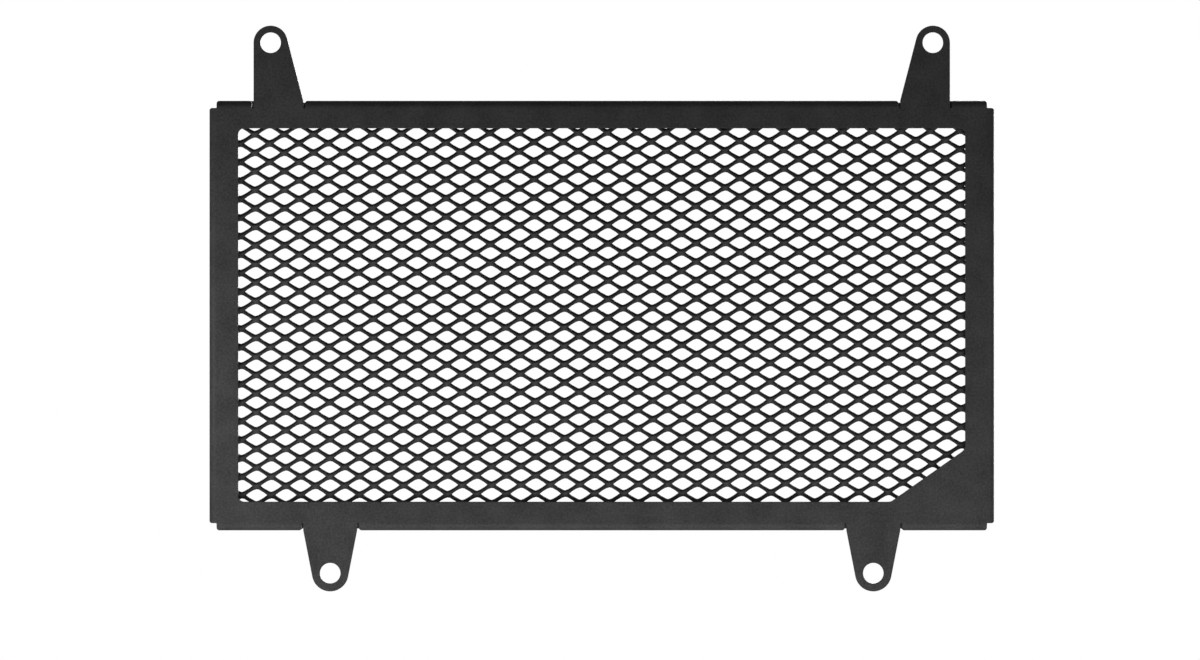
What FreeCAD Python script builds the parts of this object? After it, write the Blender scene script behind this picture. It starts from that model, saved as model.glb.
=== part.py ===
# Radiator grille: a folded sheet metal frame with four bolt tabs, and an expanded metal panel behind it.
# Millimetres, +Z up, +X to the right seen from the front, the front facing -Y.
# The origin is midway between the two top bolt holes, on the rear face of the tabs.

import FreeCAD
import Part
import math
import os

from collections import Counter, namedtuple
from FreeCAD import Vector

# Sheet the frame is folded from
sheet = 1.5
bend_radius = 1.0  # inside
flange_depth = 10.0  # from the front face to the flanges' free edge
flange_corner_radius = 2.0  # at the free edge
flange_end_radius = 0.9  # seen from the front, at the open corners and beside the tabs

# Frame face
frame_width = 267.0
frame_height = 146.2
frame_drop = 19.7  # from the top bolt holes down to the frame's top edge
side_border = 9.9
top_border = 9.4
bottom_border = 9.8
window_corner_radius = 2.0
gusset_width = 25.3
gusset_height = 17.8
gusset_round = 3.0

# Bolt tabs
bolt_hole = 7.0
top_hole_pitch = 225.2
top_tab_end_radius = 5.8
top_tab_root = 16.9  # width where the tab leaves the frame, with its outer edge upright
bottom_hole_pitch = 184.7
bottom_hole_drop = 14.5  # from the frame's bottom edge down to the bolt holes
bottom_tab_end_radius = 6.2
bottom_tab_root = 18.3
relief_slit = 0.6  # between each tab and the flanges beside it

# Expanded metal panel
diamond_long_way = 10.0  # from knuckle to knuckle across
diamond_short_way = 6.3  # from knuckle to knuckle up
strand_width = 1.45
panel_thickness = 2.2  # over its raised strands
pattern_turn = 0.3  # degrees, the rows rising to the right
pattern_right = 2.2  # one opening's middle, from the window's middle
pattern_up = 2.3

# Tack welds along the panel's edges
weld_leg = 2.0  # across the frame's rear face
weld_height = 1.5  # up the panel's edge
weld_bulge = 0.25
weld_length = 8.0
weld_clearance = 0.5  # between a weld and the start of the fold
welds_per_long_edge = 5
welds_per_short_edge = 3

# Places that follow from the sizes
fold_zone = sheet + bend_radius
front = -sheet
flange_rear = flange_depth - sheet
frame_right = frame_width / 2
frame_top = -frame_drop
frame_bottom = frame_top - frame_height
fold_right = frame_right - fold_zone
fold_top = frame_top - fold_zone
fold_bottom = frame_bottom + fold_zone
window_right = frame_right - side_border
window_top = frame_top - top_border
window_bottom = frame_bottom + bottom_border
top_hole_x = top_hole_pitch / 2
bottom_hole_x = bottom_hole_pitch / 2
bottom_hole_z = frame_bottom - bottom_hole_drop

# The panel in its own pattern's frame, which is turned a little and starts from the middle of one opening
turn = math.radians(pattern_turn)
pattern_z = (window_top + window_bottom) / 2 + pattern_up
half_long = diamond_long_way / 2
half_short = diamond_short_way / 2
strand_to_middle = half_long * half_short / math.hypot(half_long, half_short)
opening_share = 1 - strand_width / 2 / strand_to_middle
panel_inset = weld_leg + weld_clearance
panel_reach_x = fold_right - panel_inset - math.sin(turn) * frame_height / 2
panel_reach_z = panel_inset + math.sin(turn) * frame_width / 2
panel_left = -panel_reach_x - pattern_right
panel_right = panel_reach_x - pattern_right
top_row = math.floor((fold_top - panel_reach_z - pattern_z) / half_short)
bottom_row = math.ceil((fold_bottom + panel_reach_z - pattern_z) / half_short)

TO_RIGHT = Vector(1, 0, 0)
TO_REAR = Vector(0, 1, 0)
UP = Vector(0, 0, 1)


def at(x, z, y=front):
    """A point seen from the front at x across and z up."""
    return Vector(x, y, z)


def prism(edges, thickness):
    """The outline's face pushed back by a thickness."""
    return Part.Face(Part.Wire(edges)).extrude(TO_REAR * thickness)


def rounded_edges(corners, place):
    """Edges of a closed outline from (across, up, radius) corners, set in space by place(across, up)."""
    stations = []
    for index, (across, up, radius) in enumerate(corners):
        corner = place(across, up)
        before = (place(*corners[index - 1][:2]) - corner).normalize()
        after = (place(*corners[(index + 1) % len(corners)][:2]) - corner).normalize()
        half_angle = before.getAngle(after) / 2
        reach = radius / math.tan(half_angle)
        middle = corner + (before + after).normalize() * (radius / math.sin(half_angle) - radius)
        stations.append((corner + before * reach, middle, corner + after * reach))
    edges = []
    for index, (start, middle, end) in enumerate(stations):
        if corners[index][2]:
            edges.append(Part.Arc(start, middle, end).toShape())
        edges.append(Part.LineSegment(end, stations[(index + 1) % len(stations)][0]).toShape())
    return edges


Tab = namedtuple("Tab", "hole_x hole_z end_radius root_left root_right fold_z edge_z")


def tab_tangents(tab):
    """The two (x, z) points where a tab's straight sides, left and right, run into its round end."""
    outward = math.copysign(1, tab.hole_z - tab.edge_z)
    points = []
    for root_x, side in ((tab.root_left, -outward), (tab.root_right, outward)):
        across = root_x - tab.hole_x
        up = tab.edge_z - tab.hole_z
        angle = math.atan2(up, across) + side * math.acos(tab.end_radius / math.hypot(across, up))
        points.append(
            (
                tab.hole_x + tab.end_radius * math.cos(angle),
                tab.hole_z + tab.end_radius * math.sin(angle),
            )
        )
    return points


def tab_plate(tab):
    """A bolt tab in the plane of the face: straight through the fold, then tapering to a round end."""
    left, right = (at(*point) for point in tab_tangents(tab))
    tip = at(tab.hole_x, tab.hole_z + math.copysign(tab.end_radius, tab.hole_z - tab.edge_z))
    line = [
        right,
        at(tab.root_right, tab.edge_z),
        at(tab.root_right, tab.fold_z),
        at(tab.root_left, tab.fold_z),
        at(tab.root_left, tab.edge_z),
        left,
    ]
    edges = [Part.LineSegment(start, end).toShape() for start, end in zip(line, line[1:])]
    edges.append(Part.Arc(left, tip, right).toShape())
    hole = Part.makeCylinder(bolt_hole / 2, sheet, at(tab.hole_x, tab.hole_z), TO_REAR)
    return prism(edges, sheet).cut(hole)


def flange(start, along, outward, first, last):
    """A stretch of edge folded back between two places along it: the bend and its straight wall.

    Its corners are rounded, seen square on to the wall and seen from the front.
    """

    def section(out, back):
        return start + outward * out + TO_REAR * back

    def square_on(distance, back):
        return start + along * distance + TO_REAR * back

    def from_front(distance, out):
        return start + along * distance + outward * out + TO_REAR * front

    slant = math.sqrt(0.5)
    outer = section(fold_zone * slant, bend_radius - fold_zone * slant)
    inner = section(bend_radius * slant, bend_radius - bend_radius * slant)
    wall = [
        section(fold_zone, bend_radius),
        section(fold_zone, flange_rear),
        section(bend_radius, flange_rear),
        section(bend_radius, bend_radius),
    ]
    edges = [
        Part.Arc(section(0, front), outer, wall[0]).toShape(),
        *(Part.LineSegment(a, b).toShape() for a, b in zip(wall, wall[1:])),
        Part.Arc(wall[3], inner, section(0, 0)).toShape(),
        Part.LineSegment(section(0, 0), section(0, front)).toShape(),
    ]
    strip = Part.Face(Part.Wire(edges)).extrude(along * (last - first))
    strip.translate(along * first)
    wall_corners = [
        (first, front, 0),
        (last, front, 0),
        (last, flange_rear, flange_corner_radius),
        (first, flange_rear, flange_corner_radius),
    ]
    front_corners = [
        (first, 0, 0),
        (last, 0, 0),
        (last, fold_zone, flange_end_radius),
        (first, fold_zone, flange_end_radius),
    ]
    wall_cut = Part.Face(Part.Wire(rounded_edges(wall_corners, square_on))).extrude(outward * fold_zone)
    front_cut = prism(rounded_edges(front_corners, from_front), flange_depth)
    return strip.common(wall_cut).common(front_cut)


def edge_flanges(z, outward, tabs):
    """The stretches of flange along the top or bottom edge, with a slit on each side of every tab."""
    ends = [-fold_right]
    for tab in tabs:
        ends += [tab.root_left - relief_slit, tab.root_right + relief_slit]
    ends.append(fold_right)
    return [
        flange(at(0, z, 0), TO_RIGHT, outward, first, last) for first, last in zip(ends[::2], ends[1::2])
    ]


def window():
    """The window through the face, cut off at its lower right corner by the gusset."""
    corners = [
        (-window_right, window_top, window_corner_radius),
        (window_right, window_top, window_corner_radius),
        (window_right, window_bottom + gusset_height, gusset_round),
        (window_right - gusset_width, window_bottom, gusset_round),
        (-window_right, window_bottom, window_corner_radius),
    ]
    return prism(rounded_edges(corners, at), sheet)


def top_tab(side):
    """The upper tab on the left (-1) or right (+1), with its outer edge upright."""
    hole_x = side * top_hole_x
    outer_edge = hole_x + side * top_tab_end_radius
    roots = sorted([outer_edge, outer_edge - side * top_tab_root])
    return Tab(hole_x, 0, top_tab_end_radius, *roots, fold_top, frame_top)


def bottom_tab(side):
    """The lower tab on the left (-1) or right (+1), tapering evenly."""
    hole_x = side * bottom_hole_x
    roots = [hole_x - bottom_tab_root / 2, hole_x + bottom_tab_root / 2]
    return Tab(hole_x, bottom_hole_z, bottom_tab_end_radius, *roots, fold_bottom, frame_bottom)


def frame():
    """The folded frame: its face, four tabs and the flanges round it, with open corners."""
    height = fold_top - fold_bottom
    face = Part.makeBox(2 * fold_right, sheet, height, at(-fold_right, fold_bottom))
    top_tabs = [top_tab(side) for side in (-1, 1)]
    bottom_tabs = [bottom_tab(side) for side in (-1, 1)]
    folded = [
        *(tab_plate(tab) for tab in top_tabs + bottom_tabs),
        *edge_flanges(fold_top, UP, top_tabs),
        *edge_flanges(fold_bottom, -UP, bottom_tabs),
        flange(at(-fold_right, 0, 0), UP, -TO_RIGHT, fold_bottom, fold_top),
        flange(at(fold_right, 0, 0), UP, TO_RIGHT, fold_bottom, fold_top),
    ]
    return face.cut(window()).multiFuse(folded).removeSplitter()


def on_pattern(across, up, y):
    """A point of the pattern's frame, across and up from the middle of its first opening."""
    return at(
        pattern_right + across * math.cos(turn) - up * math.sin(turn),
        pattern_z + across * math.sin(turn) + up * math.cos(turn),
        y,
    )


def cut_to_length(line):
    """The stretch of a line of points, left to right, between the panel's two ends."""
    kept = []
    for (x1, z1), (x2, z2) in zip(line, line[1:]):
        for end in (panel_left, panel_right):
            if x1 <= end < x2:
                kept.append((end, z1 + (z2 - z1) * (end - x1) / (x2 - x1)))
        if panel_left < x2 < panel_right:
            kept.append((x2, z2))
    return kept


def strand_edge(row, rise):
    """The edge of a strand along a row of openings: over them for a rise of +1, under them for -1."""
    columns = math.ceil(frame_width / diamond_long_way)
    line = []
    for column in range(-columns, columns + 1):
        across = (column + row % 2 / 2) * diamond_long_way
        up = row * half_short
        line += [
            (across - half_long * opening_share, up),
            (across, up + rise * half_short * opening_share),
            (across + half_long * opening_share, up),
        ]
    return cut_to_length(line)


def flat_face(points):
    """A face inside a loop of points."""
    return Part.Face(Part.makePolygon(points + points[:1]))


def mesh_panel():
    """The expanded metal panel on the frame's rear face: one sheet of strands joined at their knuckles.

    Each strand is a zigzag between two rows of openings. It has a front and a rear face, and a wall along
    each edge that it doesn't share with the next strand. The sheet's top and bottom edges are sheared
    along a row of knuckles.
    """
    faces = []
    uses = Counter()
    for row in range(bottom_row, top_row):
        loop = strand_edge(row, 1) + strand_edge(row + 1, -1)[::-1]
        for y in (0, panel_thickness):
            faces.append(flat_face([on_pattern(x, z, y) for x, z in loop]))
        uses.update(frozenset(ends) for ends in zip(loop, loop[1:] + loop[:1]))
    for (start, end), count in uses.items():
        if count == 1:
            corners = [(start, 0), (end, 0), (end, panel_thickness), (start, panel_thickness)]
            faces.append(flat_face([on_pattern(*point, y) for point, y in corners]))
    shell = Part.Shell(faces)
    shell.sewShape()
    return Part.Solid(shell)


def tack_weld(across, up, out_across, out_up):
    """A short fillet weld on the frame's rear face, outwards from the panel's edge at (across, up)."""
    along_across = abs(out_up) * weld_length
    along_up = abs(out_across) * weld_length

    def section(out, back):
        return on_pattern(
            across + out_across * out - along_across / 2,
            up + out_up * out - along_up / 2,
            back,
        )

    slope = math.hypot(weld_leg, weld_height)
    crown = section(
        weld_leg / 2 + weld_bulge * weld_height / slope,
        weld_height / 2 + weld_bulge * weld_leg / slope,
    )
    edges = [
        Part.LineSegment(section(0, 0), section(weld_leg, 0)).toShape(),
        Part.Arc(section(weld_leg, 0), crown, section(0, weld_height)).toShape(),
        Part.LineSegment(section(0, weld_height), section(0, 0)).toShape(),
    ]
    along = on_pattern(along_across, along_up, 0) - on_pattern(0, 0, 0)
    return Part.Face(Part.Wire(edges)).extrude(along)


def spread(low, high, count):
    """The middles of equal stretches between two ends."""
    return [low + (high - low) * (index + 0.5) / count for index in range(count)]


def tack_welds():
    """The welds that hold the panel: on knuckles along the top and bottom, on strand ends at the sides."""
    welds = []
    for row, out_up in ((top_row, 1), (bottom_row, -1)):
        first_knuckle = (row % 2 + 1) * half_long
        for across in spread(panel_left, panel_right, welds_per_long_edge):
            steps = round((across - first_knuckle) / diamond_long_way)
            knuckle = first_knuckle + steps * diamond_long_way
            welds.append(tack_weld(knuckle, row * half_short, 0, out_up))
    for end, out_across in ((panel_left, -1), (panel_right, 1)):
        for up in spread(bottom_row * half_short, top_row * half_short, welds_per_short_edge):
            welds.append(tack_weld(end, up, out_across, 0))
    return Part.makeCompound(welds)


os.makedirs("parts", exist_ok=True)
for name, shape in (("frame", frame()), ("mesh_panel", mesh_panel()), ("tack_welds", tack_welds())):
    shape.exportStep(f"parts/{name}.step")
    print(name, len(shape.Solids), "solids", round(shape.Volume, 1), "mm3")
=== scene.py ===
"""Radiator grille: a folded, powder coated frame with raised expanded metal tacked behind it."""

import logging
import math
from dataclasses import dataclass
from enum import Enum
from typing import Any, Iterable, Iterator, Optional, Union

import bmesh
import bpy
from mathutils import Matrix, Vector


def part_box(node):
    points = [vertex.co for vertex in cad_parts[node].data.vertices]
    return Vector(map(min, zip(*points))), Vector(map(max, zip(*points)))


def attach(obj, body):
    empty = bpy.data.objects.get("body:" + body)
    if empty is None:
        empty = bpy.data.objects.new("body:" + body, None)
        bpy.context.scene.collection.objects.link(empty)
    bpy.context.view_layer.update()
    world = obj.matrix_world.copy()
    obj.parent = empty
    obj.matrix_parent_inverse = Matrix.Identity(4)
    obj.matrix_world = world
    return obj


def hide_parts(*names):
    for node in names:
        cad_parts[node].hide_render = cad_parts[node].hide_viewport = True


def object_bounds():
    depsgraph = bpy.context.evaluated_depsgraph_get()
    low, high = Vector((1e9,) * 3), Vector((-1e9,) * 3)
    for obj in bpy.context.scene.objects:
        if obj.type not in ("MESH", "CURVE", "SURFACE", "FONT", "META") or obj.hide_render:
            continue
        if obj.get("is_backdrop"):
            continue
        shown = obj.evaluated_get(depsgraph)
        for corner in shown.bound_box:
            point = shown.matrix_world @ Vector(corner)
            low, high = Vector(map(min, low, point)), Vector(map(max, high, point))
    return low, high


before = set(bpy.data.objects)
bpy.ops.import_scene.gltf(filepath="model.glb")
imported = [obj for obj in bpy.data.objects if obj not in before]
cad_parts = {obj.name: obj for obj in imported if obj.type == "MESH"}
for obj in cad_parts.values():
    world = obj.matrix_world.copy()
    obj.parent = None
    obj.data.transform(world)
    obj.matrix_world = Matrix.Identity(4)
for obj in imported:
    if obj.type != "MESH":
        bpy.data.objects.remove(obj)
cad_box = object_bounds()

log = logging.getLogger("radiator_grille")

MM = 0.001
BODY = "root"
MERGE_DISTANCE = 0.001 * MM


class Slot(Enum):
    """The record's material slots for the pieces' finishes."""

    FRAME = "frame_coat"
    MESH = "mesh_coat"
    WELD = "weld_coat"


class Layer(Enum):
    """Names of the values that a mesh carries for its modifiers, its node tree and its coat."""

    CUT_EDGE = "bevel_weight_edge"
    CORNER = "corner"
    # Painted light and shade: 1 on the knuckles' broad faces, a share on the strands' broad faces, 0 on
    # the cut edges that lie in shade.
    PAINTED_LIGHT = "knuckle"


def pick(sockets: Iterable[bpy.types.NodeSocket], key: Union[int, str]) -> bpy.types.NodeSocket:
    """The socket with this number, identifier or name.

    Args:
        sockets: A node's inputs or outputs.
        key: The number, identifier or name.

    Returns:
        The first socket that fits.
    """
    if isinstance(key, int):
        return sockets[key]
    return next(socket for socket in sockets if key in (socket.identifier, socket.name))


@dataclass(frozen=True)
class Signal:
    """One output of a node, with arithmetic that adds Math nodes to its tree."""

    graph: "Graph"
    socket: bpy.types.NodeSocket

    def __add__(self, other: "Number") -> "Signal":
        """This value plus another."""
        return self.graph.math("ADD", self, other)

    def __radd__(self, other: "Number") -> "Signal":
        """Another value plus this one."""
        return self.graph.math("ADD", other, self)

    def __sub__(self, other: "Number") -> "Signal":
        """This value less another."""
        return self.graph.math("SUBTRACT", self, other)

    def __rsub__(self, other: "Number") -> "Signal":
        """Another value less this one."""
        return self.graph.math("SUBTRACT", other, self)

    def __mul__(self, other: "Number") -> "Signal":
        """This value times another."""
        return self.graph.math("MULTIPLY", self, other)

    def __rmul__(self, other: "Number") -> "Signal":
        """Another value times this one."""
        return self.graph.math("MULTIPLY", other, self)

    def __truediv__(self, other: "Number") -> "Signal":
        """This value divided by another."""
        return self.graph.math("DIVIDE", self, other)

    def __rtruediv__(self, other: "Number") -> "Signal":
        """Another value divided by this one."""
        return self.graph.math("DIVIDE", other, self)

    def __mod__(self, other: "Number") -> "Signal":
        """What is left of this value after whole steps of another, never below nought."""
        return self.graph.math("FLOORED_MODULO", self, other)

    def __pow__(self, other: "Number") -> "Signal":
        """This value raised to a power."""
        return self.graph.math("POWER", self, other)

    def __abs__(self) -> "Signal":
        """This value without its sign."""
        return self.graph.math("ABSOLUTE", self, 0.0)

    def other(self, key: str) -> "Signal":
        """Another output of the same node."""
        return Signal(self.graph, pick(self.socket.node.outputs, key))


Number = Union[Signal, float]


@dataclass(frozen=True)
class Graph:
    """A node tree that is written as Python expressions."""

    tree: bpy.types.NodeTree

    def add(self, kind: str, inputs: Optional[dict] = None, settings: Optional[dict] = None) -> Signal:
        """Adds a node.

        Args:
            kind: The node's type.
            inputs: Values or signals by the socket's number, identifier or name.
            settings: The node's own options, set before its sockets.

        Returns:
            The node's first output, or its first input where it has no output.
        """
        node = self.tree.nodes.new(kind)
        for name, value in (settings or {}).items():
            setattr(node, name, value)
        for key, value in (inputs or {}).items():
            socket = pick(node.inputs, key)
            if isinstance(value, Signal):
                self.tree.links.new(value.socket, socket)
            else:
                socket.default_value = value
        return Signal(self, node.outputs[0] if node.outputs else node.inputs[0])

    def math(self, operation: str, first: Number, second: Number) -> Signal:
        """A Math node on two values."""
        return self.add("ShaderNodeMath", {0: first, 1: second}, {"operation": operation})

    def vector(self, x: Number, y: Number, z: Number) -> Signal:
        """A vector from its three parts."""
        return self.add("ShaderNodeCombineXYZ", {"X": x, "Y": y, "Z": z})

    def stretch(self, value: Signal, low: float, high: float) -> Signal:
        """A value spread out so that low becomes 0 and high becomes 1, and held between them."""
        return self.add("ShaderNodeMapRange", {"Value": value, "From Min": low, "From Max": high})

    def mix_colour(self, factor: Number, first: "Colour", second: "Colour") -> Signal:
        """The colour between two others, at 0 the first and at 1 the second."""
        inputs = {"Factor_Float": factor, "A_Color": first, "B_Color": second}
        return self.add("ShaderNodeMix", inputs, {"data_type": "RGBA"}).other("Result_Color")


Colour = Union[Signal, tuple[float, float, float, float]]


def grey(level: float) -> Colour:
    """An even grey, at 0 black and at 1 white."""
    return (level, level, level, 1.0)


WHITE = grey(1.0)


@dataclass(frozen=True)
class Tone:
    """A near black that varies between two depths."""

    dark: float
    pale: float

    def colour(self, graph: Graph, factor: Signal) -> Signal:
        """The tone's colour, at 0 the dark end and at 1 the pale one."""
        return graph.mix_colour(factor, grey(self.dark), grey(self.pale))


@dataclass(frozen=True)
class PowderCoat:
    """A black, finely textured powder coat.

    Its colour and gloss vary in a fine speckle and a little in soft patches. Its skin has a fine grain
    over the wider swells of coat that flowed before it set.
    """

    name: str
    tone: Tone
    roughness: float
    specular: float
    # Paler tone painted on the faces in the painted light layer, a painted highlight.
    painted_light_tone: Optional[Tone] = None
    roughness_spread: float = 0.06
    speckle_share: float = 0.6
    patch_size: float = 9.0 * MM
    patch_detail: float = 2.0
    swell_size: float = 2.2 * MM
    swell_detail: float = 1.0
    grain_size: float = 0.7 * MM
    grain_detail: float = 2.0
    swell_height: float = 0.024 * MM
    grain_height: float = 0.030 * MM
    noise_low: float = 0.3
    noise_high: float = 0.7

    def material(self) -> bpy.types.Material:
        """Builds the coat's material.

        Returns:
            The new material.
        """
        material = bpy.data.materials.new(self.name)
        material.use_nodes = True
        material.node_tree.nodes.clear()
        graph = Graph(material.node_tree)
        place = graph.add("ShaderNodeTexCoord").other("Object")
        patches = self._noise(graph, place, self.patch_size, self.patch_detail)
        swells = self._noise(graph, place, self.swell_size, self.swell_detail)
        grain = self._noise(graph, place, self.grain_size, self.grain_detail)
        mottle = self.speckle_share * grain + (1.0 - self.speckle_share) * patches
        colour = self.tone.colour(graph, mottle)
        # Painted light: faces in the painted light layer mix towards the paler tone.
        if self.painted_light_tone is not None:
            layer = graph.add("ShaderNodeAttribute", settings={"attribute_name": Layer.PAINTED_LIGHT.value})
            painted_light_colour = self.painted_light_tone.colour(graph, mottle)
            colour = graph.mix_colour(layer.other("Fac"), colour, painted_light_colour)
        height = self.swell_height * swells + self.grain_height * grain
        normal = graph.add("ShaderNodeBump", {"Strength": 1.0, "Distance": 1.0, "Height": height})
        coat = graph.add(
            "ShaderNodeBsdfPrincipled",
            {
                "Base Color": colour,
                "Roughness": self.roughness + self.roughness_spread * (2.0 * mottle - 1.0),
                "Specular IOR Level": self.specular,
                "Normal": normal,
            },
        )
        graph.add("ShaderNodeOutputMaterial", {"Surface": coat})
        return material

    def _noise(self, graph: Graph, place: Signal, size: float, detail: float) -> Signal:
        """Soft noise from 0 to 1 with features of about one size."""
        noise = graph.add("ShaderNodeTexNoise", {"Vector": place, "Scale": 1.0 / size, "Detail": detail})
        return graph.stretch(noise, self.noise_low, self.noise_high)


@dataclass(frozen=True)
class Finishes:
    """The three coats on the grille, from one powder. The strands' coat is coloured darker than the
    sheet's as painted shade, and the knuckles' broad faces paler as painted light.
    """

    sheet: PowderCoat = PowderCoat(
        "frame_powder_coat", Tone(dark=0.0145, pale=0.0395), roughness=0.56, specular=0.15
    )
    # Painted shade: the strands' tone is darker than the sheet's. Painted light: the paler tone on the
    # knuckles' broad faces.
    strands: PowderCoat = PowderCoat(
        "strand_coat_with_painted_light",
        Tone(dark=0.009, pale=0.015),
        roughness=0.5,
        specular=0.06,
        painted_light_tone=Tone(dark=0.024, pale=0.044),
        grain_height=0.010 * MM,
        swell_height=0.006 * MM,
    )
    beads: PowderCoat = PowderCoat(
        "weld_powder_coat",
        Tone(dark=0.014, pale=0.028),
        roughness=0.48,
        specular=0.2,
        patch_size=3.0 * MM,
    )


class NodeTool:
    """A geometry node tree with named sizes, run once on a piece and then left behind."""

    def __init__(self, name: str) -> None:
        """Starts a tree that takes and gives a mesh.

        Args:
            name: The tree's name.
        """
        self.tree = bpy.data.node_groups.new(name, "GeometryNodeTree")
        self.graph = Graph(self.tree)
        self.values: dict[str, Any] = {}
        self.tree.interface.new_socket("Geometry", in_out="INPUT", socket_type="NodeSocketGeometry")
        self.tree.interface.new_socket("Geometry", in_out="OUTPUT", socket_type="NodeSocketGeometry")
        self.source = self.graph.add("NodeGroupInput")

    def size(self, name: str, value: Any, kind: str = "Float") -> Signal:
        """Adds a named input.

        Args:
            name: The input's name.
            value: What it is set to on the piece.
            kind: The socket's kind, such as Float, Int or Material.

        Returns:
            The input inside the tree.
        """
        socket = self.tree.interface.new_socket(name, in_out="INPUT", socket_type=f"NodeSocket{kind}")
        self.values[socket.identifier] = value
        return self.source.other(name)

    def end(self, geometry: Signal, material: Signal) -> None:
        """Closes the tree with real meshes in their coat.

        Args:
            geometry: What the tree has made.
            material: The coat's input.
        """
        real = self.graph.add("GeometryNodeRealizeInstances", {"Geometry": geometry})
        dressed = self.graph.add("GeometryNodeSetMaterial", {"Geometry": real, "Material": material})
        self.graph.add("NodeGroupOutput", {"Geometry": dressed})

    def run(self, piece: bpy.types.Object) -> None:
        """Runs the tree on a piece and keeps the result as its plain mesh.

        Args:
            piece: The piece.
        """
        modifier = piece.modifiers.new(self.tree.name, "NODES")
        modifier.node_group = self.tree
        for identifier, value in self.values.items():
            modifier[identifier] = value
        freeze(piece)


def new_piece(name: str, mesh: bpy.types.Mesh) -> bpy.types.Object:
    """A new object at the origin with this mesh.

    Args:
        name: The object's name.
        mesh: Its mesh.

    Returns:
        The object, in the scene.
    """
    piece = bpy.data.objects.new(name, mesh)
    bpy.context.scene.collection.objects.link(piece)
    return piece


def freeze(piece: bpy.types.Object) -> None:
    """Turns a piece and its modifiers into one plain mesh.

    Args:
        piece: The piece.
    """
    graph = bpy.context.evaluated_depsgraph_get()
    mesh = bpy.data.meshes.new_from_object(
        piece.evaluated_get(graph), preserve_all_data_layers=True, depsgraph=graph
    )
    piece.modifiers.clear()
    piece.data = mesh
    mesh.name = piece.name


def hand_over(piece: bpy.types.Object, node: str, slot: Slot) -> None:
    """Puts a finished piece in the place of its CAD node.

    Args:
        piece: The finished piece, at the origin.
        node: The CAD node that it stands for.
        slot: The material slot of its finish; not used.
    """
    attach(piece, BODY)
    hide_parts(node)


def merged_copy(node: str) -> bmesh.types.BMesh:
    """A CAD node's mesh with its loose triangles joined.

    Args:
        node: The node's name.

    Returns:
        A copy, which the caller frees.
    """
    mesh = bmesh.new()
    mesh.from_mesh(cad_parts[node].data)
    bmesh.ops.remove_doubles(mesh, verts=mesh.verts, dist=MERGE_DISTANCE)
    return mesh


@dataclass(frozen=True)
class TabRoots:
    """Where a left and right pair of tabs leaves the frame.

    Attributes:
        inner: How far each tab's inner side is from the middle.
        outer: How far its outer side is.
        fold_z: The height of the fold line beside it.
        outward: 1 for tabs that point up and -1 for those that point down.
        closed_outside: Whether the slit on its outer side is closed up to the rim by a dark plate that
            runs on along the flange's end.
    """

    inner: float
    outer: float
    fold_z: float
    outward: int
    closed_outside: bool


@dataclass(frozen=True)
class SlitFilm:
    """The place of a thin dark plate that fills a slit, set back so that it lies in shade and the slit
    reads dark.

    Attributes:
        left: Its left side.
        right: Its right side.
        fold_z: The height of the slit's closed end.
        rim_z: The height of its outer end.
        tail: How far its outer end runs on to the rear, along the flange's end.
    """

    left: float
    right: float
    fold_z: float
    rim_z: float
    tail: float


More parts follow.
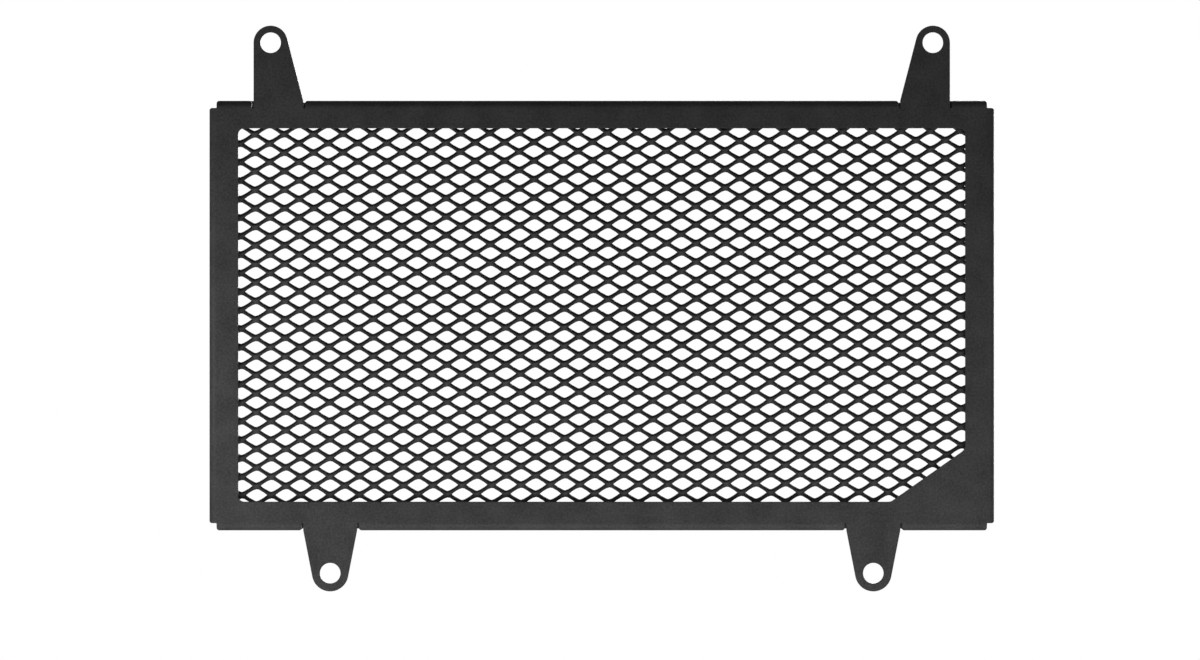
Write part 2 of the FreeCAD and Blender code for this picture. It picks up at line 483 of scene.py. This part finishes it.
@dataclass
class FoldedFrame:
    """The frame, folded from one sheet, with the coat rounding its cut edges, and a dark plate set back
    in each slit so that the slit reads as shade.
    """

    node: str = "frame"
    edge_round: float = 0.2 * MM
    edge_steps: int = 2
    flat_angle: float = math.radians(1.0)
    edge_angle: float = math.radians(40.0)
    normal_weight: int = 100
    upper_tabs: TabRoots = TabRoots(
        inner=101.5 * MM, outer=118.4 * MM, fold_z=-22.2 * MM, outward=1, closed_outside=True
    )
    lower_tabs: TabRoots = TabRoots(
        inner=83.2 * MM, outer=101.5 * MM, fold_z=-163.4 * MM, outward=-1, closed_outside=False
    )
    slit: float = 0.6 * MM
    flange_end_radius: float = 0.9 * MM
    film_length: float = 1.9 * MM
    closed_film_length: float = 2.45 * MM
    film_thickness: float = 0.5 * MM
    film_depth: float = 0.6 * MM
    film_rim_depth: float = 2.2 * MM
    film_grip: float = 0.1 * MM
    closed_film_tail: float = 5.8 * MM

    def build(self, coat: PowderCoat) -> bpy.types.Object:
        """Builds the frame and dresses it.

        Args:
            coat: The frame's finish.

        Returns:
            The finished piece.
        """
        sheet = merged_copy(self.node)
        bmesh.ops.dissolve_limit(
            sheet, angle_limit=self.flat_angle, verts=sheet.verts, edges=sheet.edges
        )
        cut_edge = sheet.edges.layers.float.new(Layer.CUT_EDGE.value)
        for edge in sheet.edges:
            edge[cut_edge] = float(edge.calc_face_angle(0.0) > self.edge_angle)
        for face in sheet.faces:
            face.smooth = True
        # A dark plate set back in each slit stands in for the shade there.
        for film in self._films():
            self._fill_slit(sheet, film)
        mesh = bpy.data.meshes.new("frame_sheet")
        sheet.to_mesh(mesh)
        sheet.free()
        mesh.materials.clear()
        mesh.materials.append(coat.material())
        piece = new_piece("frame_sheet", mesh)
        self._round_edges(piece)
        return piece

    def _films(self) -> Iterator[SlitFilm]:
        """The film in the slit on each side of every tab.

        Returns:
            The eight films, one after the other.
        """
        for roots in (self.upper_tabs, self.lower_tabs):
            reach = self.slit + self.film_grip
            length, tail = self.film_length, 0.0
            yield from self._pair(roots, roots.inner - reach, roots.inner + self.film_grip, length, tail)
            if roots.closed_outside:
                reach += self.flange_end_radius
                length, tail = self.closed_film_length, self.closed_film_tail
            yield from self._pair(roots, roots.outer - self.film_grip, roots.outer + reach, length, tail)

    @staticmethod
    def _pair(roots: TabRoots, low: float, high: float, length: float, tail: float) -> Iterator[SlitFilm]:
        """The same film beside the right tab and the left one.

        Args:
            roots: The tabs.
            low: How far the film's near side is from the middle.
            high: How far its other side is.
            length: How far it reaches out from the fold line.
            tail: How far its outer end runs on to the rear.

        Returns:
            The two films.
        """
        rim_z = roots.fold_z + roots.outward * length
        yield SlitFilm(low, high, roots.fold_z, rim_z, tail)
        yield SlitFilm(-high, -low, roots.fold_z, rim_z, tail)

    def _fill_slit(self, sheet: bmesh.types.BMesh, film: SlitFilm) -> None:
        """Adds a film that lies further back towards its outer end.

        Args:
            sheet: The mesh that it is added to.
            film: Its place.
        """
        half = self.film_thickness / 2
        closed_z = film.fold_z - math.copysign(self.film_grip, film.rim_z - film.fold_z)
        section = [
            (self.film_depth - half, closed_z),
            (self.film_rim_depth - half, film.rim_z),
            (self.film_rim_depth + half + film.tail, film.rim_z),
            (self.film_depth + half, closed_z),
        ]
        left, right = ([sheet.verts.new((x, y, z)) for y, z in section] for x in (film.left, film.right))
        faces = [sheet.faces.new(left), sheet.faces.new(right)]
        for index in range(len(section)):
            before = index - 1
            faces.append(sheet.faces.new((left[before], left[index], right[index], right[before])))
        bmesh.ops.recalc_face_normals(sheet, faces=faces)

    def _round_edges(self, piece: bpy.types.Object) -> None:
        """Rounds the cut edges, inside the CAD box, and keeps the flats flat in the light.

        Args:
            piece: The frame's piece.
        """
        bevel = piece.modifiers.new("coated_edges", "BEVEL")
        bevel.width = self.edge_round
        bevel.segments = self.edge_steps
        bevel.limit_method = "WEIGHT"
        bevel.use_clamp_overlap = False
        flats = piece.modifiers.new("flat_faces", "WEIGHTED_NORMAL")
        flats.weight = self.normal_weight
        flats.keep_sharp = True
        freeze(piece)
        low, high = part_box(self.node)
        for vertex in piece.data.vertices:
            vertex.co = [min(max(part, low[axis]), high[axis]) for axis, part in enumerate(vertex.co)]


@dataclass
class ExpandedPanel:
    """The expanded metal panel: rows of strands, raised at a tilt and joined at their knuckles.

    The pattern has a frame of its own, from the middle of one opening, turned a little against the
    window. Its rows of knuckles are half a short way apart, and every other row is shifted by half a
    long way.
    """

    node: str = "mesh_panel"
    long_way: float = 10.0 * MM
    short_way: float = 6.3 * MM
    turn: float = math.radians(0.3)
    middle_x: float = 2.2 * MM
    middle_z: float = -90.3 * MM
    half_width: float = 128.117 * MM
    bottom_row: int = -22
    top_row: int = 20
    spare_rows: int = 1
    strand_width: float = 1.1 * MM
    metal: float = 1.28 * MM
    tilt: float = math.radians(42.0)
    knuckle_half: float = 0.75 * MM
    lower_edge_extra: float = 0.25 * MM
    # Share of the painted light on the strands' broad faces.
    strand_painted_light_share: float = 0.2
    corner_crease: float = 0.3
    rounding_level: int = 1
    columns: int = 28
    seat_gap: float = 0.02 * MM
    join_distance: float = 0.01 * MM

    def build(self, coat: PowderCoat) -> bpy.types.Object:
        """Builds the panel and dresses it.

        Args:
            coat: The strands' finish.

        Returns:
            The finished piece.
        """
        piece = new_piece("expanded_panel", self._knuckle_cage())
        self._lay_knuckles(coat).run(piece)
        self._shear_to_size(piece)
        front = min(vertex.co.y for vertex in piece.data.vertices)
        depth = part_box(self.node)[0].y + self.seat_gap - front
        place = Matrix.Translation((self.middle_x, depth, self.middle_z))
        piece.data.transform(place @ Matrix.Rotation(-self.turn, 4, "Y"))
        return piece

    def _corner(self, side: int, across: int, face: int) -> Vector:
        """A corner of a knuckle's section at one of its ends.

        Args:
            side: -1 for the left end and 1 for the right.
            across: Which strand's far edge, 1 for the upper and -1 for the lower, or 0 for their seam.
            face: 1 on the front face, which looks down, and -1 on the rear face.

        Returns:
            The corner, from the knuckle's middle.
        """
        rise = math.cos(self.tilt) * self.strand_width
        depth = math.sin(self.tilt) * self.strand_width
        half_metal = self.metal / 2
        z = across * rise - face * half_metal * math.sin(self.tilt)
        y = -across * depth - face * half_metal * math.cos(self.tilt)
        slope = math.atan2(self.short_way / 2 - rise, self.long_way / 2 - 2 * self.knuckle_half)
        inside = across * z - rise / 2
        extra = self.lower_edge_extra if across < 0 else 0.0
        return Vector((side * (self.knuckle_half + extra - inside * math.tan(slope / 2)), y, z))

    def _knuckle_cage(self) -> bpy.types.Mesh:
        """One knuckle with the two strands that rise from it, as a coarse open cage.

        Returns:
            The cage's mesh.
        """
        cage = bmesh.new()
        corner = cage.edges.layers.float.new(Layer.CORNER.value)
        # Painted light: the knuckle's broad faces get 1 as lit faces, and its cut edges get 0 as faces in
        # shade.
        knuckle = cage.faces.layers.float.new(Layer.PAINTED_LIGHT.value)
        section = [(1, 1), (1, -1), (0, -1), (-1, -1), (-1, 1), (0, 1)]
        ends = {
            side: {key: cage.verts.new(self._corner(side, *key)) for key in section} for side in (-1, 1)
        }
        for first, second in zip(section, section[1:] + section[:1]):
            face = cage.faces.new((ends[-1][first], ends[1][first], ends[1][second], ends[-1][second]))
            face[knuckle] = float(self._on_broad_face(first, second))
        for across, face in section:
            if across:
                cage.edges.get((ends[-1][across, face], ends[1][across, face]))[corner] = 1.0
        strand = [(1, 1), (1, -1), (0, -1), (0, 1)]
        for side in (-1, 1):
            step = Vector((side * self.long_way / 2, 0.0, self.short_way / 2))
            far = {key: cage.verts.new(step + self._corner(-side, key[0] - 1, key[1])) for key in strand}
            for first, second in zip(strand, strand[1:] + strand[:1]):
                face = cage.faces.new((ends[side][first], far[first], far[second], ends[side][second]))
                # The strands' broad faces get only a share of the painted light.
                face[knuckle] = self.strand_painted_light_share * self._on_broad_face(first, second)
            for key in strand:
                cage.edges.get((ends[side][key], far[key]))[corner] = 1.0
        mesh = bpy.data.meshes.new("knuckle_cage")
        cage.to_mesh(mesh)
        cage.free()
        return mesh

    @staticmethod
    def _on_broad_face(first: tuple[int, int], second: tuple[int, int]) -> bool:
        """Whether two corners of a section are both on its front face or both on its rear face."""
        return first[1] == second[1]

    def _lay_knuckles(self, coat: PowderCoat) -> NodeTool:
        """The tree that lays knuckles in staggered rows and rounds them into one sheet.

        Args:
            coat: The strands' finish.

        Returns:
            The tree, ready to run on the cage.
        """
        tool = NodeTool("lay_knuckles")
        graph = tool.graph
        columns = tool.size("Columns", self.columns, "Int")
        # The spare row lies below the lower cut, and its strands rise to the bottom row.
        row_count = self.top_row - self.bottom_row + 1 + self.spare_rows
        rows = tool.size("Rows", row_count, "Int")
        first_row = tool.size("First Row", self.bottom_row - self.spare_rows, "Int")
        long_way = tool.size("Long Way", self.long_way)
        half_short = tool.size("Half Short Way", self.short_way / 2)
        crease = tool.size("Corner Crease", self.corner_crease)
        level = tool.size("Rounding Level", self.rounding_level, "Int")
        join_distance = tool.size("Join Distance", self.join_distance)
        material = tool.size("Coat", coat.material(), "Material")
        grid = graph.add("GeometryNodeMeshGrid", {"Vertices X": columns, "Vertices Y": rows})
        index = graph.add("GeometryNodeInputIndex")
        row = index % rows + first_row
        column = graph.math("FLOOR", index / rows, 0.0) - graph.math("FLOOR", columns / 2.0, 0.0)
        across = (column + (row + 1.0) % 2.0 / 2.0) * long_way
        place = graph.vector(across, 0.0, row * half_short)
        points = graph.add("GeometryNodeSetPosition", {"Geometry": grid, "Position": place})
        laid = graph.add("GeometryNodeInstanceOnPoints", {"Points": points, "Instance": tool.source})
        loose = graph.add("GeometryNodeRealizeInstances", {"Geometry": laid})
        joined = graph.add("GeometryNodeMergeByDistance", {"Geometry": loose, "Distance": join_distance})
        corner = self._layer(graph, Layer.CORNER)
        rounded = graph.add(
            "GeometryNodeSubdivisionSurface",
            {"Mesh": joined, "Level": level, "Edge Crease": corner * crease},
        )
        # Spreads the painted light from the faces to the points, so that it fades at the knuckles' ends.
        toned = graph.add(
            "GeometryNodeStoreNamedAttribute",
            {
                "Geometry": rounded,
                "Name": Layer.PAINTED_LIGHT.value,
                "Value": self._layer(graph, Layer.PAINTED_LIGHT),
            },
            {"data_type": "FLOAT", "domain": "POINT"},
        )
        smooth = graph.add("GeometryNodeSetShadeSmooth", {"Geometry": toned, "Shade Smooth": True})
        tool.end(smooth, material)
        return tool

    @staticmethod
    def _layer(graph: Graph, layer: Layer) -> Signal:
        """A value that the mesh carries."""
        return graph.add("GeometryNodeInputNamedAttribute", {"Name": layer.value}, {"data_type": "FLOAT"})

    def _shear_to_size(self, piece: bpy.types.Object) -> None:
        """Cuts the sheet along its four edges and closes the cut ends.

        Args:
            piece: The panel's piece.
        """
        half_short = self.short_way / 2
        cuts = [
            (Vector((-self.half_width - self.middle_x, 0, 0)), Vector((-1, 0, 0))),
            (Vector((self.half_width - self.middle_x, 0, 0)), Vector((1, 0, 0))),
            (Vector((0, 0, self.bottom_row * half_short)), Vector((0, 0, -1))),
            (Vector((0, 0, self.top_row * half_short)), Vector((0, 0, 1))),
        ]
        sheet = bmesh.new()
        sheet.from_mesh(piece.data)
        for point, outward in cuts:
            everything = [*sheet.verts, *sheet.edges, *sheet.faces]
            bmesh.ops.bisect_plane(
                sheet, geom=everything, plane_co=point, plane_no=outward, clear_outer=True
            )
            rims = [edge for edge in sheet.edges if edge.is_boundary]
            bmesh.ops.holes_fill(sheet, edges=rims, sides=0)
        bmesh.ops.dissolve_degenerate(sheet, dist=MERGE_DISTANCE, edges=sheet.edges)
        bmesh.ops.recalc_face_normals(sheet, faces=sheet.faces)
        sheet.to_mesh(piece.data)
        sheet.free()


@dataclass
class TackWelds:
    """The short weld beads that hold the panel's edges to the frame's rear face."""

    node: str = "tack_welds"
    leg: float = 2.0 * MM
    height: float = 1.5 * MM
    inner_leg: float = 0.7 * MM
    root_depth: float = 0.25 * MM
    ripples: int = 7
    ripple_share: float = 0.09
    end_sharpness: float = 4.0
    end_share: float = 0.02
    stations: int = 57
    profile_points: int = 14

    def build(self, coat: PowderCoat) -> bpy.types.Object:
        """Builds the beads and dresses them.

        Args:
            coat: The beads' finish.

        Returns:
            The finished piece.
        """
        piece = new_piece("weld_beads", self._seams())
        self._run_beads(coat).run(piece)
        return piece

    def _seams(self) -> bpy.types.Mesh:
        """The lines that the beads follow, along the panel's edges, one for each CAD weld.

        Returns:
            A mesh of single edges that run round the panel with the outside on the same hand.
        """
        middle = sum(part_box(self.node), Vector()) / 2
        points: list[Vector] = []
        for low, high in self._weld_boxes():
            lies_across = high.x - low.x > high.z - low.z
            if lies_across:
                above = (low.z + high.z) / 2 > middle.z
                z = low.z if above else high.z
                ends = [Vector((low.x, low.y, z)), Vector((high.x, low.y, z))]
                outside_first = above
            else:
                right = (low.x + high.x) / 2 > middle.x
                x = low.x if right else high.x
                ends = [Vector((x, low.y, high.z)), Vector((x, low.y, low.z))]
                outside_first = right
            points += ends if outside_first else ends[::-1]
        mesh = bpy.data.meshes.new("weld_seams")
        mesh.from_pydata(points, [(i, i + 1) for i in range(0, len(points), 2)], [])
        return mesh

    def _weld_boxes(self) -> Iterator[tuple[Vector, Vector]]:
        """The lowest and highest corners of each weld in the CAD node.

        Returns:
            The two corners, weld by weld.
        """
        solids = merged_copy(self.node)
        waiting = set(solids.verts)
        while waiting:
            island = set()
            front = {waiting.pop()}
            while front:
                vertex = front.pop()
                island.add(vertex)
                neighbours = {edge.other_vert(vertex) for edge in vertex.link_edges}
                front |= neighbours & waiting
                waiting -= neighbours
            places = [vertex.co for vertex in island]
            low = Vector([min(place[axis] for place in places) for axis in range(3)])
            high = Vector([max(place[axis] for place in places) for axis in range(3)])
            yield low, high
        solids.free()

    def _run_beads(self, coat: PowderCoat) -> NodeTool:
        """The tree that runs a rippled bead with round ends along each seam.

        Args:
            coat: The beads' finish.

        Returns:
            The tree, ready to run on the seams.
        """
        tool = NodeTool("run_beads")
        graph = tool.graph
        leg = tool.size("Leg", self.leg)
        height = tool.size("Height", self.height)
        inner_leg = tool.size("Inner Leg", self.inner_leg)
        root_depth = tool.size("Root Depth", self.root_depth)
        ripples = tool.size("Ripples", self.ripples, "Int")
        ripple_share = tool.size("Ripple Share", self.ripple_share)
        stations = tool.size("Stations", self.stations, "Int")
        profile_points = tool.size("Profile Points", self.profile_points, "Int")
        material = tool.size("Coat", coat.material(), "Material")
        seam = graph.add("GeometryNodeMeshToCurve", {"Mesh": tool.source})
        seam = graph.add("GeometryNodeResampleCurve", {"Curve": seam, "Count": stations})
        seam = graph.add(
            "GeometryNodeSetCurveNormal", {"Curve": seam, "Normal": (0.0, 1.0, 0.0)}, {"mode": "FREE"}
        )
        along = graph.add("GeometryNodeSplineParameter")
        from_middle = abs(2.0 * along - 1.0)
        swell = (1.0 + self.end_share - from_middle**self.end_sharpness) ** 0.5
        wave = abs(graph.math("SINE", along * ripples * math.pi, 0.0))
        scale = swell * (1.0 - ripple_share * (1.0 - wave))
        circle = graph.add(
            "GeometryNodeCurvePrimitiveCircle", {"Resolution": profile_points, "Radius": 1.0}
        )
        spot = graph.add("ShaderNodeSeparateXYZ", {"Vector": graph.add("GeometryNodeInputPosition")})
        up = graph.math("MAXIMUM", spot * height, 0.0 - root_depth)
        out = graph.math("MAXIMUM", spot.other("Y") * leg, 0.0 - inner_leg)
        profile = graph.add(
            "GeometryNodeSetPosition", {"Geometry": circle, "Position": graph.vector(up, out, 0.0)}
        )
        bead = graph.add(
            "GeometryNodeCurveToMesh",
            {"Curve": seam, "Profile Curve": profile, "Scale": scale, "Fill Caps": True},
        )
        joined = graph.add("GeometryNodeMergeByDistance", {"Geometry": bead, "Distance": MERGE_DISTANCE})
        smooth = graph.add("GeometryNodeSetShadeSmooth", {"Geometry": joined, "Shade Smooth": True})
        tool.end(smooth, material)
        return tool


@dataclass(frozen=True)
class Lamp:
    """One soft rectangular lamp, hidden from the camera.

    Attributes:
        name: The lamp's name.
        place: Where its middle is.
        target: What it points at.
        width: Its side across.
        height: Its other side.
        power: Its power in watts.
    """

    name: str
    place: tuple[float, float, float]
    target: tuple[float, float, float]
    width: float
    height: float
    power: float

    def build(self) -> None:
        """Puts the lamp in the scene."""
        light = bpy.data.lights.new(self.name, "AREA")
        light.shape = "RECTANGLE"
        light.size = self.width
        light.size_y = self.height
        light.energy = self.power
        lamp = bpy.data.objects.new(self.name, light)
        lamp.location = self.place
        direction = Vector(self.target) - Vector(self.place)
        lamp.rotation_euler = direction.to_track_quat("-Z", "Y").to_euler()
        lamp.visible_camera = False
        bpy.context.scene.collection.objects.link(lamp)


@dataclass
class Studio:
    """A white studio: a pale floor, a white surround, soft lamps and the camera.

    A broad lamp in front lights the face evenly. A low lamp and one on each side make it paler towards
    the bottom and the left, and a lamp behind lights the rear.
    """

    field_width: float = 408.0 * MM
    aim_x: float = -0.6 * MM
    aim_z: float = -97.7 * MM
    distance: float = 2.5
    sensor: float = 36.0
    floor_gap: float = 30.0 * MM
    floor_radius: float = 4.0
    floor_sides: int = 96
    floor_tone: float = 0.86
    floor_glow: float = 0.6
    shade_middle_y: float = -0.06
    shade_reach_x: float = 0.4
    shade_reach_y: float = 0.2
    shade_core: float = 0.2
    surround: float = 0.2
    front_lamp: Lamp = Lamp(
        "front_lamp", (0.0, -1.6, -0.1), target=(0.0, 0.0, -0.1), width=1.2, height=0.8, power=4.8
    )
    low_lamp: Lamp = Lamp(
        "low_front_lamp",
        (-0.04, -0.065, -0.214),
        target=(-0.04, 0.0, 0.6),
        width=0.46,
        height=0.09,
        power=0.41,
    )
    left_lamp: Lamp = Lamp(
        "left_lamp", (-0.21, -0.09, -0.12), target=(0.0, -0.09, 0.02), width=0.08, height=0.1, power=0.205
    )
    right_lamp: Lamp = Lamp(
        "right_lamp", (0.21, -0.09, -0.12), target=(0.0, -0.09, 0.02), width=0.08, height=0.1, power=0.075
    )
    rear_lamp: Lamp = Lamp(
        "rear_lamp", (0.35, 1.1, 0.12), target=(0.0, 0.0, -0.1), width=0.5, height=0.5, power=24.0
    )

    def build(self) -> None:
        """Sets up the floor, the surround, the lamps and the camera."""
        self._floor()
        self._surround()
        for lamp in (self.front_lamp, self.low_lamp, self.left_lamp, self.right_lamp, self.rear_lamp):
            lamp.build()
        self._camera()
        bpy.context.scene.view_settings.view_transform = "Standard"

    @staticmethod
    def _seen(graph: Graph) -> Signal:
        """1 for the rays that show the surroundings, and 0 for those that light the object."""
        return graph.add("ShaderNodeLightPath").other("Is Camera Ray")

    def _floor(self) -> None:
        """A round pale floor below the grille, which fades to the white of the surround."""
        disc = bmesh.new()
        bmesh.ops.create_circle(disc, cap_ends=True, segments=self.floor_sides, radius=self.floor_radius)
        mesh = bpy.data.meshes.new("studio_floor")
        disc.to_mesh(mesh)
        disc.free()
        mesh.transform(Matrix.Translation((0.0, 0.0, cad_box[0][2] - self.floor_gap)))
        mesh.materials.append(self._floor_material())
        new_piece("studio_floor", mesh)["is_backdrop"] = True

    def _floor_material(self) -> bpy.types.Material:
        """Matt pale paint that keeps a shadow near the grille.

        Returns:
            The new material.
        """
        material = bpy.data.materials.new("studio_floor_paint")
        material.use_nodes = True
        material.node_tree.nodes.clear()
        graph = Graph(material.node_tree)
        place = graph.add("ShaderNodeTexCoord").other("Object")
        spot = graph.add("ShaderNodeSeparateXYZ", {"Vector": place})
        x = spot / self.shade_reach_x
        y = (spot.other("Y") - self.shade_middle_y) / self.shade_reach_y
        far = graph.stretch((x * x + y * y) ** 0.5, self.shade_core, 1.0)
        glow = self._seen(graph) * (self.floor_glow + (1.0 - self.floor_glow) * far)
        paint = graph.add("ShaderNodeBsdfDiffuse", {"Color": grey(self.floor_tone)})
        white = graph.add("ShaderNodeEmission", {"Color": WHITE, "Strength": 1.0})
        mixed = graph.add("ShaderNodeMixShader", {0: glow, 1: paint, 2: white})
        graph.add("ShaderNodeOutputMaterial", {"Surface": mixed})
        return material

    def _surround(self) -> None:
        """White all round where it is seen, and a soft grey where it lights."""
        world = bpy.data.worlds.new("studio_surround")
        bpy.context.scene.world = world
        world.use_nodes = True
        world.node_tree.nodes.clear()
        graph = Graph(world.node_tree)
        dim = graph.add("ShaderNodeBackground", {"Color": WHITE, "Strength": self.surround})
        white = graph.add("ShaderNodeBackground", {"Color": WHITE, "Strength": 1.0})
        mixed = graph.add("ShaderNodeMixShader", {0: self._seen(graph), 1: dim, 2: white})
        graph.add("ShaderNodeOutputWorld", {"Surface": mixed})

    def _camera(self) -> None:
        """A camera square on to the grille's face, far off, with a long lens."""
        lens = bpy.data.cameras.new("front_camera")
        lens.sensor_width = self.sensor
        lens.lens = self.sensor * self.distance / self.field_width
        camera = bpy.data.objects.new("front_camera", lens)
        camera.location = (self.aim_x, cad_box[0][1] - self.distance, self.aim_z)
        camera.rotation_euler = (math.pi / 2, 0.0, 0.0)
        bpy.context.scene.collection.objects.link(camera)
        bpy.context.scene.camera = camera


def write_sizes() -> None:
    """Works out the CAD model's box and the visual model's box as plain lists."""
    boxes = {"cad": cad_box, "visual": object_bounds()}
    plain = {name: [list(map(float, corner)) for corner in box] for name, box in boxes.items()}


def main() -> None:
    """Builds the grille's pieces in their coats, then the studio."""
    logging.basicConfig(level=logging.INFO, format="%(message)s")
    finishes = Finishes()
    assemblies = (
        (FoldedFrame(), finishes.sheet, Slot.FRAME),
        (ExpandedPanel(), finishes.strands, Slot.MESH),
        (TackWelds(), finishes.beads, Slot.WELD),
    )
    for assembly, coat, slot in assemblies:
        piece = assembly.build(coat)
        hand_over(piece, assembly.node, slot)
        log.info("%s: %d faces in place of %s", piece.name, len(piece.data.polygons), assembly.node)
    Studio().build()
    write_sizes()


if __name__ == "__main__":
    main()
